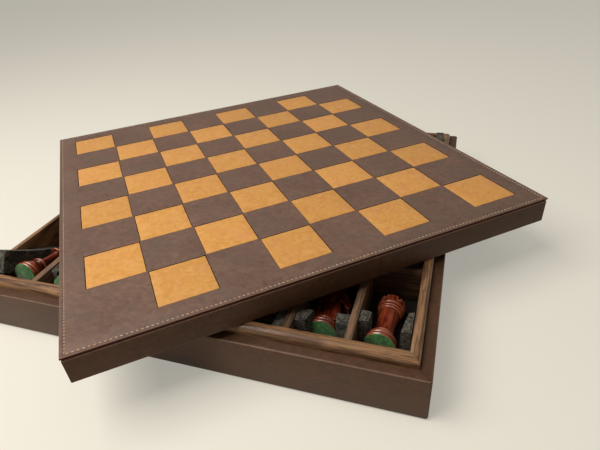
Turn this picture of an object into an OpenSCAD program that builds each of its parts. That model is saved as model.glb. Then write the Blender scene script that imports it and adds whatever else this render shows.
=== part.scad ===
// Chess set in its own box: a leather-wrapped storage tray, a leather-topped board that
// serves as its lift-off lid, and thirty-two turned chessmen in foam-lined compartments.
// Origin: centre of the tray's underside. +X to the tray's right, +Y to its back, +Z up.

/* [Board] */
// Side of one playing square
square = 45; // [42.5:0.5:50]
// Border between the playing area and the edge of the board
border = 18; // [14:0.5:24]
// How far an inlay window stops short of the grid line
inlay_margin = 0.5; // [0.3:0.1:1]
// Dark seam between an inlaid square and the sheet around it
inlay_seam = 0.25; // [0.15:0.05:0.5]
// Thickness of the leather sheet on top of the board
board_leather_t = 1.4; // [1:0.1:2]
// Thickness of the wooden board under the leather
lid_panel_t = 5; // [3:0.5:7]
// Thickness of the fabric that lines the underside of the board
lining_t = 0.8; // [0.4:0.1:1.5]
// Overall height of the board from its rim to its playing surface
lid_h = 23.4; // [21:0.2:30]
// How far the top sheet stands out past the wrapped rim
sheet_overhang = 0.3; // [0.2:0.1:1.5]
// Open groove between the top sheet and the wrapped rim
groove_h = 1.2; // [0.6:0.1:1.5]
// Radius of the wooden board's upright corners, under the leather
panel_corner_r = 0.4; // [0.2:0.1:2]

/* [Board at rest] */
// Turn of the board on the tray, anticlockwise
lid_turn = 41; // [38:0.5:44]
// Board centre to the right of the tray centre
lid_x = -2.4; // [-6:0.1:2]
// Board centre behind the tray centre
lid_y = 16.6; // [14:0.1:20]
// Air left under the board where it lies on the lip
rest_gap = 0.2; // [0.1:0.05:0.5]

/* [Tray] */
// Height of the leather-wrapped wall
wall_h = 39; // [36:0.5:46]
// Width of the flat rim round the lip
rim_w = 8.8; // [7.5:0.1:12]
// Thickness of the wrapping leather
leather_t = 1; // [0.6:0.1:1.4]
// Radius of the wrapped upright corners
corner_r = 2.5; // [1.8:0.1:5]
// Thickness of the wooden lip boards
lip_t = 7.4; // [6.2:0.1:9]
// Height of the lip above the rim
lip_rise = 7.5; // [6:0.5:9]
// Radius of the lip's rounded outer edge
lip_round = 5; // [2:0.5:6]
// Thickness of the cloth under the tray
foot_cloth_t = 0.8; // [0.4:0.1:1.5]
// Thickness of the bottom board
bottom_t = 3.2; // [2.4:0.2:4]
// Thickness of the black floor lining
floor_t = 1; // [0.5:0.1:1.5]
// Play between the board's rim and the lip when the board is closed
lid_play = 0.6; // [0.3:0.1:1.2]

/* [Compartments] */
// Thickness of the wooden dividers
divider_t = 6; // [4:0.5:7]
// Clear depth of the two outer rows, which hold the tall pieces
outer_row_d = 93.3; // [88:0.5:98]
// Play in the halved joints where dividers cross
lap_play = 0.15; // [0.05:0.05:0.3]
// Length of a foam strip beside a tall piece
foam_l = 38; // [30:1:44]
// Length of a foam strip beside a knight
knight_foam_l = 31.5; // [28:0.5:38]
// Length of a foam strip beside a pawn
pawn_foam_l = 26; // [20:1:34]
// Distance that the foam stops below the top of the dividers
foam_drop = 1; // [0:0.5:4]
// Thickness of the foam strip that has fallen under a bishop
loose_foam_t = 6.5; // [5:0.5:8]
// Length of the foam strip that has sprung up
sprung_l = 63; // [54:1:66]
// Height of the foam strip that has sprung up
sprung_h = 21; // [16:1:24]
// Tilt of the foam strip that has sprung up
foam_tilt = 33; // [28:1:36]
// Distance from the raised end of that strip to the front wall
sprung_gap = 7; // [4:0.5:9]
// Air between a piece and the foam, wood or lining next to it
piece_gap = 0.35; // [0.2:0.05:0.5]

/* [Chessmen] */
// Height of the king
king_h = 78; // [70:1:80]
// Base diameter of the king
king_d = 29; // [26:0.5:31]
// Height of the queen
queen_h = 70; // [62:1:74]
// Base diameter of the queen
queen_d = 27.5; // [25:0.5:30]
// Height of a bishop
bishop_h = 62; // [56:1:66]
// Base diameter of a bishop
bishop_d = 22.6; // [21:0.2:23.6]
// Height of a knight
knight_h = 54; // [50:1:58]
// Base diameter of a knight
knight_d = 26; // [23:0.5:26.5]
// Height of a rook
rook_h = 49; // [46:0.5:53]
// Base diameter of a rook
rook_d = 25.3; // [23:0.1:27]
// Height of a pawn
pawn_h = 40; // [36:1:46]
// Base diameter of a pawn
pawn_d = 20; // [18:0.5:22]
// Thickness of the green felt under a piece
felt_t = 0.8; // [0.5:0.1:1.2]
// How far the felt stops short of the edge of the base
felt_inset = 0.6; // [0.3:0.1:1.2]
// Distance from a rook's felt to the wall its base faces
rook_setback = 24; // [16:0.5:30]
// Turn of the front right rook in its foam, with its head to the right
rook_yaw = 3.5; // [0:0.5:4]

/* [Hidden] */

$fn = 64;
eps = 0.01;
columns = 8;

// Tray
side = 8 * square + 2 * border;
lip_top = wall_h + lip_rise;
bed_z = foot_cloth_t + bottom_t + floor_t;
lip_half = side / 2 - rim_w;
inner = 2 * (lip_half - lip_t);
cloth_inset = 6;
lip_edge_r = 0.8;

// Compartments
cell_pitch = (inner + divider_t) / columns;
cell_w = cell_pitch - divider_t;
pawn_row_d = (inner - 2 * outer_row_d - 3 * divider_t) / 2;
divider_h = wall_h - bed_z;
cross_y_outer = inner / 2 - outer_row_d - divider_t / 2;

// Board
skirt_t = rim_w - lid_play;
wrap_half = side / 2 - sheet_overhang;
panel_half = wrap_half - leather_t;
skirt_half = side / 2 - skirt_t;
sheet_z = lid_h - board_leather_t;
panel_z = sheet_z - lid_panel_t;
window_w = square - 2 * inlay_margin;
inlay_w = window_w - 2 * inlay_seam;

// Foam
foam_h = divider_h - foam_drop;
arch_rise = 9.8;

// Chessmen, in the order in which they lie from left to right: distance from the wall, height
// above the bed at which the foam holds them, share of the left foam strip that they squeeze,
// turn in the foam, and turn about their own axis
red = "#9c3a1e";
boxwood = "#d8b070";
row_d = [bishop_d, knight_d, rook_d, king_d, queen_d, bishop_d, knight_d, rook_d];
row_foam_l = [foam_l, knight_foam_l, foam_l, foam_l, foam_l, foam_l, knight_foam_l, foam_l];
setbacks = [17, 14, rook_setback, outer_row_d - king_h - 4, outer_row_d - queen_h - 4, 20, 25, rook_setback];
held_up = [0, 9.5, 0, 0, 0, 0, 0.8, 0];
squeezes = [0, 0, 0, 0, 0, 0, 0.3, 0.5];
yaws = [0, 0, 0, 0, 0, 0, 0, rook_yaw];
spins = [0, 0, 0, 0, 0, 0, 180, 0];
pawn_setback = 14;
loose_lean = 8;

// ---------------------------------------------------------------- curves

function bez(a, b, c, n) =
    [for (i = [0:n]) let (t = i / n) (1 - t) * (1 - t) * a + 2 * t * (1 - t) * b + t * t * c];

function arc(c, r, a0, a1, n) =
    [for (i = [0:n]) let (a = a0 + (a1 - a0) * i / n) c + r * [cos(a), sin(a)]];

// Half-round ring whose outermost radius is r, between heights z0 and z1
function bead(r, z0, z1, n = 6) =
    arc([r - (z1 - z0) / 2, (z0 + z1) / 2], (z1 - z0) / 2, -90, 90, n);

// ---------------------------------------------------------------- shared solids

module block(w, h) {
    translate([-w / 2, -w / 2, 0])
        cube([w, w, h]);
}

module rounded_block(w, h, r) {
    c = w / 2 - r;
    translate([-w / 2, -c, 0])
        cube([w, 2 * c, h]);
    translate([-c, -w / 2, 0])
        cube([2 * c, w, h]);
    for (x = [-c, c], y = [-c, c])
        translate([x, y, 0])
            cylinder(r = r, h = h);
}

// Front side of a square frame, mitred at both ends, between two half widths
module mitre(outer, inside, z0, z1) {
    translate([0, 0, z0])
        linear_extrude(z1 - z0)
            polygon([[-outer, -outer], [outer, -outer], [inside, -inside], [-inside, -inside]]);
}

// Turns a front piece to one of the four sides: 0 front, 1 right, 2 back, 3 left
module at_side(k) {
    rotate([0, 0, 90 * k])
        children();
}

// ---------------------------------------------------------------- tray

module foot_cloth() {
    color("#2a211c")
        rounded_block(side - 2 * cloth_inset, foot_cloth_t, corner_r);
}

module bottom_board() {
    color("#a9855a")
        translate([0, 0, foot_cloth_t])
            block(2 * lip_half, bottom_t);
}

module floor_lining() {
    color("#141313")
        translate([0, 0, bed_z - floor_t])
            block(inner, floor_t);
}

module wall(k) {
    color("#8a6a48")
        intersection() {
            at_side(k)
                mitre(side / 2 - leather_t, lip_half, foot_cloth_t + leather_t, wall_h - leather_t);
            rounded_block(side - 2 * leather_t, wall_h, corner_r - leather_t);
        }
}

// Leather drawn over the outside of the wall and turned in over the rim and under the foot
module wall_leather() {
    z0 = foot_cloth_t;
    color("#4a352b")
        difference() {
            translate([0, 0, z0])
                rounded_block(side, wall_h - z0, corner_r);
            translate([0, 0, z0 + leather_t])
                rounded_block(side - 2 * leather_t, wall_h - z0 - 2 * leather_t, corner_r - leather_t);
            block(2 * lip_half, wall_h + 1);
        }
}

// Section of a lip board, from its outer face at x = 0 to its inner face at x = lip_t
function lip_section(h) = concat(
    [[0, 0]],
    arc([lip_round, h - lip_round], lip_round, 180, 90, 10),
    arc([lip_t - lip_edge_r, h - lip_edge_r], lip_edge_r, 90, 0, 4),
    [[lip_t, 0]]
);

module lip(k) {
    z0 = foot_cloth_t + bottom_t;
    color("#9a7350")
        intersection() {
            at_side(k)
                translate([-lip_half, -lip_half, z0])
                    rotate([90, 0, 90])
                        linear_extrude(2 * lip_half)
                            polygon(lip_section(lip_top - z0));
            at_side(k)
                mitre(lip_half, inner / 2, z0, lip_top);
        }
}

// Dividers run front to back and are halved from below over the three cross walls
module divider(i) {
    slot_w = divider_t + 2 * lap_play;
    color("#b08a5e")
        difference() {
            translate([i * cell_pitch - inner / 2 - divider_t, -inner / 2, bed_z])
                cube([divider_t, inner, divider_h]);
            for (y = [-cross_y_outer, 0, cross_y_outer])
                translate([-inner / 2, y - slot_w / 2, bed_z - 1])
                    cube([inner, slot_w, divider_h / 2 + lap_play + 1]);
        }
}

module cross_wall(y) {
    slot_w = divider_t + 2 * lap_play;
    color("#a57f55")
        difference() {
            translate([-inner / 2, y - divider_t / 2, bed_z])
                cube([inner, divider_t, divider_h]);
            for (i = [1:columns - 1])
                translate([i * cell_pitch - inner / 2 - divider_t / 2 - slot_w / 2, y - divider_t,
                           bed_z + divider_h / 2])
                    cube([slot_w, 2 * divider_t, divider_h]);
        }
}

// ---------------------------------------------------------------- compartments

function cell_x(i) = i * cell_pitch + cell_w / 2 - inner / 2;

// A compartment's own frame: origin on the bed, in the middle of the wall that the base of
// the piece faces, with +Y towards the head of the piece
module in_tall_cell(i) {
    translate([cell_x(i), -inner / 2, bed_z])
        children();
}

module in_pawn_cell(i) {
    translate([cell_x(i), outer_row_d + divider_t - inner / 2, bed_z])
        children();
}

// The boxwood half of the tray is the red half turned about the centre
module boxwood_half() {
    rotate([0, 0, 180])
        children();
}

function strip_t(base_d) = (cell_w - base_d) / 2 - piece_gap;

module foam_strip(l, t, x) {
    translate([x, 0, 0])
        cube([t, l, foam_h]);
}

// Two strips beside a piece, the left one squeezed by a piece that lies off centre
module foam_pair(l, base_d, squeeze = 0) {
    t = strip_t(base_d);
    foam_strip(l, (1 - squeeze) * t, -cell_w / 2);
    foam_strip(l, t, cell_w / 2 - t);
}

// A strip that has sprung up and stands on its lower back edge
module sprung_strip() {
    translate([-cell_w / 2, sprung_gap, sprung_l * sin(foam_tilt)])
        rotate([-foam_tilt, 0, 0])
            cube([strip_t(bishop_d), sprung_l, sprung_h]);
}

// A strip that has fallen flat beside it and bows up between its neighbours
arch_w = cell_w - strip_t(bishop_d) - 2 * piece_gap;
arch_top = arch_rise + loose_foam_t;
arch_r = (arch_w * arch_w / 4 + arch_top * arch_top) / (2 * arch_top);
arch_x = strip_t(bishop_d) / 2;

module arched_strip(l) {
    intersection() {
        translate([arch_x, 0, arch_top - arch_r])
            rotate([-90, 0, 0])
                difference() {
                    cylinder(r = arch_r, h = l);
                    translate([0, 0, -1])
                        cylinder(r = arch_r - loose_foam_t, h = l + 2);
                }
        translate([arch_x - arch_r, 0, 0])
            cube([2 * arch_r, l, arch_top + 1]);
    }
}

module piece_foam() {
    color("#4b4f4d") {
        in_tall_cell(0)
            sprung_strip();
        in_tall_cell(0)
            arched_strip(foam_l);
        for (i = [1:columns - 1])
            in_tall_cell(i)
                foam_pair(row_foam_l[i], row_d[i], squeezes[i]);
    }
}

module pawn_foam() {
    color("#4b4f4d")
        for (i = [0:columns - 1])
            in_pawn_cell(i)
                foam_pair(pawn_foam_l, pawn_d);
}

// ---------------------------------------------------------------- board

// Lays the board on the lip, turned and off centre
module on_tray() {
    translate([lid_x, lid_y, lip_top + rest_gap])
        rotate([0, 0, lid_turn])
            children();
}

// Corner of square (i, j), counted from the front left
function grid(i) = (i - 4) * square;

module light_cells(w, z, h) {
    for (i = [0:7], j = [0:7])
        if ((i + j) % 2 == 1)
            translate([grid(i) + (square - w) / 2, grid(j) + (square - w) / 2, z])
                cube([w, w, h]);
}

module board_panel() {
    color("#3a2c24")
        on_tray()
            translate([0, 0, panel_z])
                rounded_block(2 * panel_half, lid_panel_t, panel_corner_r);
}

module board_leather() {
    color("#6e5a50")
        on_tray()
            difference() {
                translate([0, 0, sheet_z])
                    block(side, board_leather_t);
                light_cells(window_w, sheet_z - 1, board_leather_t + 2);
            }
}

module light_squares() {
    color("#d29a58")
        on_tray()
            light_cells(inlay_w, sheet_z, board_leather_t);
}

module board_lining() {
    color("#231c18")
        on_tray()
            translate([0, 0, panel_z - lining_t])
                block(2 * skirt_half, lining_t);
}

module rim(k) {
    color("#8a6a48")
        on_tray()
            intersection() {
                at_side(k)
                    mitre(panel_half, skirt_half, leather_t, panel_z);
                rounded_block(2 * panel_half, lid_h, panel_corner_r);
            }
}

// Leather drawn over the outside of the rim and turned in under it
module rim_leather() {
    h = sheet_z - groove_h;
    color("#3c2f26")
        on_tray()
            difference() {
                rounded_block(2 * wrap_half, h, panel_corner_r + leather_t);
                translate([0, 0, leather_t])
                    rounded_block(2 * panel_half, h, panel_corner_r);
                translate([0, 0, -1])
                    block(2 * skirt_half, lid_h);
            }
}

// ---------------------------------------------------------------- chessmen, upright

// Turned foot of every piece: plinth, torus, cove and two rings, in base radii
function plinth_top(r) = felt_t + 0.24 * r;
function foot_mid(r) = felt_t + 0.12 * r;
function foot_top(r) = felt_t + 0.88 * r;
function base(r) = let (p = plinth_top(r)) concat(
    [[0, felt_t]],
    bez([0.94 * r, felt_t], [1.065 * r, foot_mid(r)], [0.93 * r, p], 8),
    bead(0.95 * r, p + 0.02 * r, p + 0.30 * r, 8)
);
function foot(r) = let (p = plinth_top(r)) concat(
    base(r),
    bez([0.80 * r, p + 0.31 * r], [0.70 * r, p + 0.33 * r], [0.66 * r, p + 0.38 * r], 4),
    bead(0.76 * r, p + 0.39 * r, p + 0.50 * r),
    bead(0.71 * r, p + 0.52 * r, p + 0.63 * r)
);

// Taller foot of the slender pieces: a bell over the torus, then two rings
function bell_top(r) = felt_t + 1.68 * r;
function bell_foot(r) = let (p = plinth_top(r)) concat(
    base(r),
    bez([0.84 * r, p + 0.31 * r], [0.80 * r, p + 0.72 * r], [0.50 * r, p + 1.10 * r], 8),
    bead(0.64 * r, p + 1.15 * r, p + 1.29 * r),
    bead(0.56 * r, p + 1.31 * r, p + 1.42 * r)
);

// Stem that narrows from low, at height z0, to neck, at height c, then a stack of collar rings
function stem(r, low, waist, neck, z0, c) = concat(
    bez([low * r, z0], [waist * r, (2 * z0 + c) / 3], [neck * r, c], 10),
    bead(0.60 * r, c, c + 0.12 * r),
    bead(0.50 * r, c + 0.14 * r, c + 0.24 * r)
);
collar_h = 0.26;

// Small ball that ends a piece, on a neck of radius n
function finial(h, ball, n) = arc([0, h - ball], ball, -acos(n / ball), 90, 8);

function pawn_outline(r, h) = let (ball = 0.53 * r, c = h - 1.8 * ball - collar_h * r) concat(
    foot(r),
    stem(r, 0.58, 0.28, 0.32, foot_top(r), c),
    finial(h, ball, 0.30 * r)
);

function bishop_outline(r, h) = let (c = 0.62 * h, m0 = c + (collar_h + 0.04) * r, ball = 0.16 * r,
                                     m1 = h - 1.85 * ball) concat(
    bell_foot(r),
    stem(r, 0.42, 0.28, 0.31, bell_top(r), c),
    bez([0.30 * r, m0], [0.76 * r, m0 + 0.34 * (m1 - m0)], [0.09 * r, m1], 12),
    finial(h, ball, 0.08 * r)
);

function rook_outline(r, h) = let (z0 = foot_top(r), c = h - 1.06 * r, t = c + 0.36 * r) concat(
    foot(r),
    bez([0.64 * r, z0], [0.54 * r, (2 * z0 + c) / 3], [0.66 * r, c], 10),
    bead(0.75 * r, c, c + 0.16 * r),
    bead(0.79 * r, c + 0.18 * r, c + 0.34 * r),
    bez([0.74 * r, t], [0.86 * r, t], [0.87 * r, t + 0.14 * r], 5),
    bez([0.88 * r, h - 0.12 * r], [0.88 * r, h], [0.78 * r, h], 5),
    [[0.56 * r, h], [0.53 * r, h - 0.34 * r], [0, h - 0.37 * r]]
);

function queen_outline(r, h) = let (c = 0.61 * h, n = c + (collar_h + 0.02) * r, ball = 0.14 * r,
                                    t = h - 0.74 * r) concat(
    bell_foot(r),
    stem(r, 0.40, 0.27, 0.31, bell_top(r), c),
    bead(0.42 * r, n, n + 0.09 * r),
    bez([0.32 * r, n + 0.11 * r], [0.33 * r, (n + t) / 2], [0.64 * r, t], 10),
    [[0.66 * r, t + 0.04 * r], [0.64 * r, t + 0.24 * r], [0.54 * r, t + 0.24 * r], [0.48 * r, t + 0.12 * r]],
    bez([0.44 * r, t + 0.12 * r], [0.40 * r, t + 0.44 * r], [0.10 * r, h - 1.8 * ball], 7),
    finial(h, ball, 0.09 * r)
);

function king_outline(r, h) = let (c = 0.60 * h, n = c + (collar_h + 0.02) * r, t = h - 1.12 * r) concat(
    bell_foot(r),
    stem(r, 0.42, 0.28, 0.33, bell_top(r), c),
    bead(0.44 * r, n, n + 0.09 * r),
    bez([0.34 * r, n + 0.11 * r], [0.36 * r, (n + t) / 2], [0.58 * r, t], 10),
    bead(0.62 * r, t + 0.01 * r, t + 0.11 * r),
    bez([0.54 * r, t + 0.13 * r], [0.46 * r, t + 0.40 * r], [0.15 * r, t + 0.42 * r], 7),
    bead(0.19 * r, t + 0.43 * r, t + 0.49 * r),
    [[0, t + 0.49 * r]]
);

module felt_disc(d) {
    color("#2f7a3a")
        cylinder(d = d - 2 * felt_inset, h = felt_t);
}

module turned(outline) {
    rotate_extrude()
        polygon(outline);
}

module pawn() {
    turned(pawn_outline(pawn_d / 2, pawn_h));
}

// The mitre is sawn open by one slanting cut
module bishop() {
    r = bishop_d / 2;
    cut_z = 0.62 * bishop_h + 0.86 * r;
    difference() {
        turned(bishop_outline(r, bishop_h));
        translate([0.34 * r, 0, cut_z + 0.30 * r])
            rotate([0, -48, 0])
                cube([0.7 * r, 2 * r, 0.11 * r], center = true);
    }
}

// Three saw cuts across the head leave six battlements
module rook() {
    r = rook_d / 2;
    notch_w = 0.2 * r;
    notch_d = 0.26 * r;
    difference() {
        turned(rook_outline(r, rook_h));
        for (a = [0, 60, 120])
            rotate([0, 0, a])
                translate([-r, -notch_w / 2, rook_h - notch_d])
                    cube([2 * r, notch_w, notch_d + 1]);
    }
}

// The coronet is scalloped by eight round-nosed cuts
module queen() {
    r = queen_d / 2;
    difference() {
        turned(queen_outline(r, queen_h));
        for (k = [0:7])
            rotate([0, 0, 45 * k])
                translate([0.47 * r, 0, queen_h - 0.46 * r])
                    rotate([0, 90, 0])
                        cylinder(r = 0.15 * r, h = 0.4 * r, $fn = 32);
    }
}

// One pair of arms of a cross that widens to its ends
module cross_arms(l, w) {
    polygon([[-w, -l], [w, -l], [0.4 * w, 0], [w, l], [-w, l], [-0.4 * w, 0]]);
}

module king() {
    r = king_d / 2;
    arm = 0.33 * r;
    cross_t = 0.2 * r;
    turned(king_outline(r, king_h));
    translate([0, cross_t / 2, king_h - arm])
        rotate([90, 0, 0])
            linear_extrude(cross_t)
                union() {
                    cross_arms(arm, 0.17 * r);
                    rotate([0, 0, 90])
                        cross_arms(0.26 * r, 0.15 * r);
                }
}

// Horse's head, sawn from three sides: x in base radii from nose to mane, z from 0 at the
// foot to 1 at the ears
horse_side = concat(
    bez([-0.70, 0], [-1.00, 0.20], [-0.60, 0.40], 6),
    bez([-0.58, 0.42], [-0.44, 0.50], [-0.62, 0.515], 4),
    bez([-0.70, 0.50], [-0.84, 0.44], [-1.10, 0.39], 4),
    bez([-1.16, 0.39], [-1.30, 0.43], [-1.23, 0.53], 4),
    bez([-1.20, 0.56], [-0.98, 0.68], [-0.70, 0.81], 5),
    [[-0.56, 0.86], [-0.34, 1], [-0.16, 0.90]],
    bez([-0.10, 0.92], [0.74, 0.88], [0.88, 0.48], 8),
    bez([0.90, 0.42], [0.92, 0.18], [0.70, 0], 5)
);
horse_front = [[0.60, 0], [0.60, 0.22], [0.47, 0.46], [0.43, 0.74], [0.33, 0.88], [0.20, 1]];
horse_top = [[-1.35, 0.17], [-1.0, 0.30], [-0.6, 0.46], [0, 0.62], [0.55, 0.50], [0.98, 0.20]];

function mirrored(points) =
    concat(points, [for (i = [len(points) - 1:-1:0]) [points[i][0], -points[i][1]]]);

module horse_block(r, z0, h) {
    intersection() {
        translate([0, r, z0])
            rotate([90, 0, 0])
                linear_extrude(2 * r)
                    polygon([for (p = horse_side) [p[0] * r, p[1] * h]]);
        translate([-2 * r, 0, z0])
            rotate([90, 0, 90])
                linear_extrude(4 * r)
                    polygon([for (p = mirrored([for (q = horse_front) [q[1], q[0]]])) [p[1] * r, p[0] * h]]);
        translate([0, 0, z0])
            linear_extrude(h)
                polygon([for (p = mirrored(horse_top)) [p[0] * r, p[1] * r]]);
    }
}

// Carved features: parted ears, mouth, eyes, nostrils and the locks of the mane
module horse_cuts(r, z0, h) {
    translate([-0.30 * r, 0, z0 + h])
        rotate([0, 45, 0])
            cube([0.9 * r, 0.13 * r, 0.22 * r], center = true);
    translate([-1.32 * r, 0, z0 + 0.452 * h])
        rotate([0, 14, 0])
            cube([0.52 * r, 2 * r, 0.05 * r], center = true);
    for (s = [-1, 1]) {
        translate([-0.62 * r, s * 0.44 * r, z0 + 0.70 * h])
            sphere(r = 0.085 * r, $fn = 24);
        translate([-1.15 * r, s * 0.25 * r, z0 + 0.515 * h])
            sphere(r = 0.055 * r, $fn = 24);
        for (k = [0:5])
            translate([(0.86 - 0.035 * k * k) * r, s * 0.46 * r, z0 + (0.26 + 0.105 * k) * h])
                rotate([0, -12 - 9 * k, s * 14])
                    cube([0.72 * r, 0.16 * r, 0.05 * r], center = true);
    }
}

module knight() {
    r = knight_d / 2;
    z0 = foot_top(r);
    h = knight_h - z0;
    turned(concat(foot(r), [[0.66 * r, z0], [0, z0]]));
    difference() {
        horse_block(r, z0 - eps, h + eps);
        horse_cuts(r, z0, h);
    }
}

// ---------------------------------------------------------------- chessmen, lying down

// Slope at which a piece lies when its foot and its head both touch the bed
function slope(points, r) =
    min([for (p = points) if (p[1] > plinth_top(r)) atan2(r - p[0], p[1] - foot_mid(r))]);

function knight_points(r) = let (z0 = foot_top(r))
    [for (p = horse_front) [p[0] * r, z0 + p[1] * (knight_h - z0) + eps]];

rook_slope = slope(rook_outline(rook_d / 2, rook_h), rook_d / 2);
king_slope = slope(king_outline(king_d / 2, king_h), king_d / 2);
queen_slope = slope(queen_outline(queen_d / 2, queen_h), queen_d / 2);
bishop_slope = slope(bishop_outline(bishop_d / 2, bishop_h), bishop_d / 2);
knight_slope = slope(knight_points(knight_d / 2), knight_d / 2);
pawn_slope = slope(pawn_outline(pawn_d / 2, pawn_h), pawn_d / 2);
slopes = [loose_lean, knight_slope, rook_slope, king_slope, queen_slope, bishop_slope, 0, rook_slope];

// Height of the middle of the foot of a piece that lies on the bed
function lying_z(d, a) = rest_gap + d / 2 * cos(a) + foot_mid(d / 2) * sin(a);

// The first bishop lies on the arched foam strip
loose_z = arch_top - arch_r + rest_gap + foot_mid(bishop_d / 2) * sin(loose_lean)
    + sqrt((arch_r + bishop_d / 2) * (arch_r + bishop_d / 2) - arch_x * arch_x);

// Lays an upright piece down with its felt at place, its head sloping down by a
module lay(place, a, yaw = 0, spin = 0) {
    translate(place)
        rotate([0, 0, -yaw])
            rotate([-90 - a, 0, 0])
                rotate([0, 0, spin])
                    children();
}

module lay_tall(i) {
    z = i == 0 ? loose_z : lying_z(row_d[i], slopes[i]) + held_up[i];
    in_tall_cell(i)
        lay([-squeezes[i] * strip_t(row_d[i]), setbacks[i], z], slopes[i], yaws[i], spins[i])
            children();
}

module lay_pawn(i) {
    in_pawn_cell(i)
        lay([0, pawn_setback, lying_z(pawn_d, pawn_slope)], pawn_slope)
            children();
}

module pawn_row() {
    for (i = [0:columns - 1])
        lay_pawn(i)
            pawn();
}

// Felt of the tall pieces in some compartments, and of all the pawns
module felts(compartments) {
    for (i = compartments)
        lay_tall(i)
            felt_disc(row_d[i]);
    for (i = [0:columns - 1])
        lay_pawn(i)
            felt_disc(pawn_d);
}

// ---------------------------------------------------------------- nodes

foot_cloth();
bottom_board();
floor_lining();
wall(0);  // wall_front
wall(1);  // wall_right
wall(2);  // wall_back
wall(3);  // wall_left
wall_leather();
lip(0);  // lip_front
lip(1);  // lip_right
lip(2);  // lip_back
lip(3);  // lip_left
divider(1);  // divider_1
divider(2);  // divider_2
divider(3);  // divider_3
divider(4);  // divider_4
divider(5);  // divider_5
divider(6);  // divider_6
divider(7);  // divider_7
cross_wall(-cross_y_outer);  // cross_wall_front
cross_wall(0);  // cross_wall_middle
cross_wall(cross_y_outer);  // cross_wall_back
piece_foam();  // foam_red_pieces
pawn_foam();  // foam_red_pawns
boxwood_half() pawn_foam();  // foam_boxwood_pawns
boxwood_half() piece_foam();  // foam_boxwood_pieces
board_panel();
board_leather();
light_squares();
board_lining();
rim(0);  // rim_front
rim(1);  // rim_right
rim(2);  // rim_back
rim(3);  // rim_left
rim_leather();
color(red) lay_tall(0) bishop();  // red_bishop_1
color(red) lay_tall(1) knight();  // red_knight_1
color(red) lay_tall(2) rook();  // red_rook_1
color(red) lay_tall(3) king();  // red_king
color(red) lay_tall(4) queen();  // red_queen
color(red) lay_tall(5) bishop();  // red_bishop_2
color(red) lay_tall(6) knight();  // red_knight_2
color(red) lay_tall(7) rook();  // red_rook_2
color(boxwood) boxwood_half() lay_tall(0) bishop();  // boxwood_bishop_1
color(boxwood) boxwood_half() lay_tall(1) knight();  // boxwood_knight_1
color(boxwood) boxwood_half() lay_tall(2) rook();  // boxwood_rook_1
color(boxwood) boxwood_half() lay_tall(3) king();  // boxwood_king
color(boxwood) boxwood_half() lay_tall(4) queen();  // boxwood_queen
color(boxwood) boxwood_half() lay_tall(5) bishop();  // boxwood_bishop_2
color(boxwood) boxwood_half() lay_tall(6) knight();  // boxwood_knight_2
color(boxwood) boxwood_half() lay_tall(7) rook();  // boxwood_rook_2
color(red) pawn_row();  // red_pawns
color(boxwood) boxwood_half() pawn_row();  // boxwood_pawns
felts([1:6]);  // red_felts
boxwood_half() felts([0:columns - 1]);  // boxwood_felts
lay_tall(0) felt_disc(bishop_d);  // bishop_felt
lay_tall(7) felt_disc(rook_d);  // rook_felt
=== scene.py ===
"""Looks of a chess set in its own box: a leather-topped board turned on an open storage tray.

All lengths are in metres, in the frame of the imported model. Sizes in millimetres are written
as a number times MM.
"""

import math

import bmesh
import bpy
from mathutils import Matrix, Vector, noise
from mathutils.bvhtree import BVHTree


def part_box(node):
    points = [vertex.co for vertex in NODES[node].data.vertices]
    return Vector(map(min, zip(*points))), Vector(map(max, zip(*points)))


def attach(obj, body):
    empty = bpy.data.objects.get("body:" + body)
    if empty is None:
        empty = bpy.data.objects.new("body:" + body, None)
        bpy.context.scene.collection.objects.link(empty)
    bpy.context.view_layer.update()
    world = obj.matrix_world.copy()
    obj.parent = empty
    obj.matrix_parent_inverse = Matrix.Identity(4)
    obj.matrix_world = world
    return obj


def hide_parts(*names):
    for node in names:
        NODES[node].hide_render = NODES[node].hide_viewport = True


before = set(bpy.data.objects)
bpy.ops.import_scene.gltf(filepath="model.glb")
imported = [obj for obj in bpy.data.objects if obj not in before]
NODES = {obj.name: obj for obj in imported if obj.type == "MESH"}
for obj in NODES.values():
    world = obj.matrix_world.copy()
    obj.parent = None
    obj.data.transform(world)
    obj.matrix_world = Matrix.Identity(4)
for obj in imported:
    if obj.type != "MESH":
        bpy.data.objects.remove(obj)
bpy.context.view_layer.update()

MM = 0.001
# noise starts from the clock unless it is given a seed
noise.seed_set(7)

# ------------------------------------------------------------------ sizes taken from the frame

SHEET_LOW, SHEET_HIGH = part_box("board_leather")
BOARD_CENTRE = (SHEET_LOW + SHEET_HIGH) / 2
BOARD_TOP = SHEET_HIGH.z
BOARD_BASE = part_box("rim_leather")[0].z
SHEET_T = SHEET_HIGH.z - SHEET_LOW.z
SKIRT_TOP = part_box("rim_leather")[1].z - BOARD_BASE
FRONT_CORNER = min((v.co for v in NODES["board_leather"].data.vertices), key=lambda co: co.y)
CORNER_X, CORNER_Y = FRONT_CORNER.x - BOARD_CENTRE.x, FRONT_CORNER.y - BOARD_CENTRE.y
BOARD_SIDE = math.sqrt(2) * math.hypot(CORNER_X, CORNER_Y)
BOARD_TURN = math.atan2(CORNER_Y, CORNER_X) + 0.75 * math.pi

TRAY_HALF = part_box("wall_leather")[1].x
RIM_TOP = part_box("wall_leather")[1].z
FOOT_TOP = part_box("wall_leather")[0].z
LIP_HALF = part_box("lip_right")[1].x

# ------------------------------------------------------------------ sizes of the finish

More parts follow.
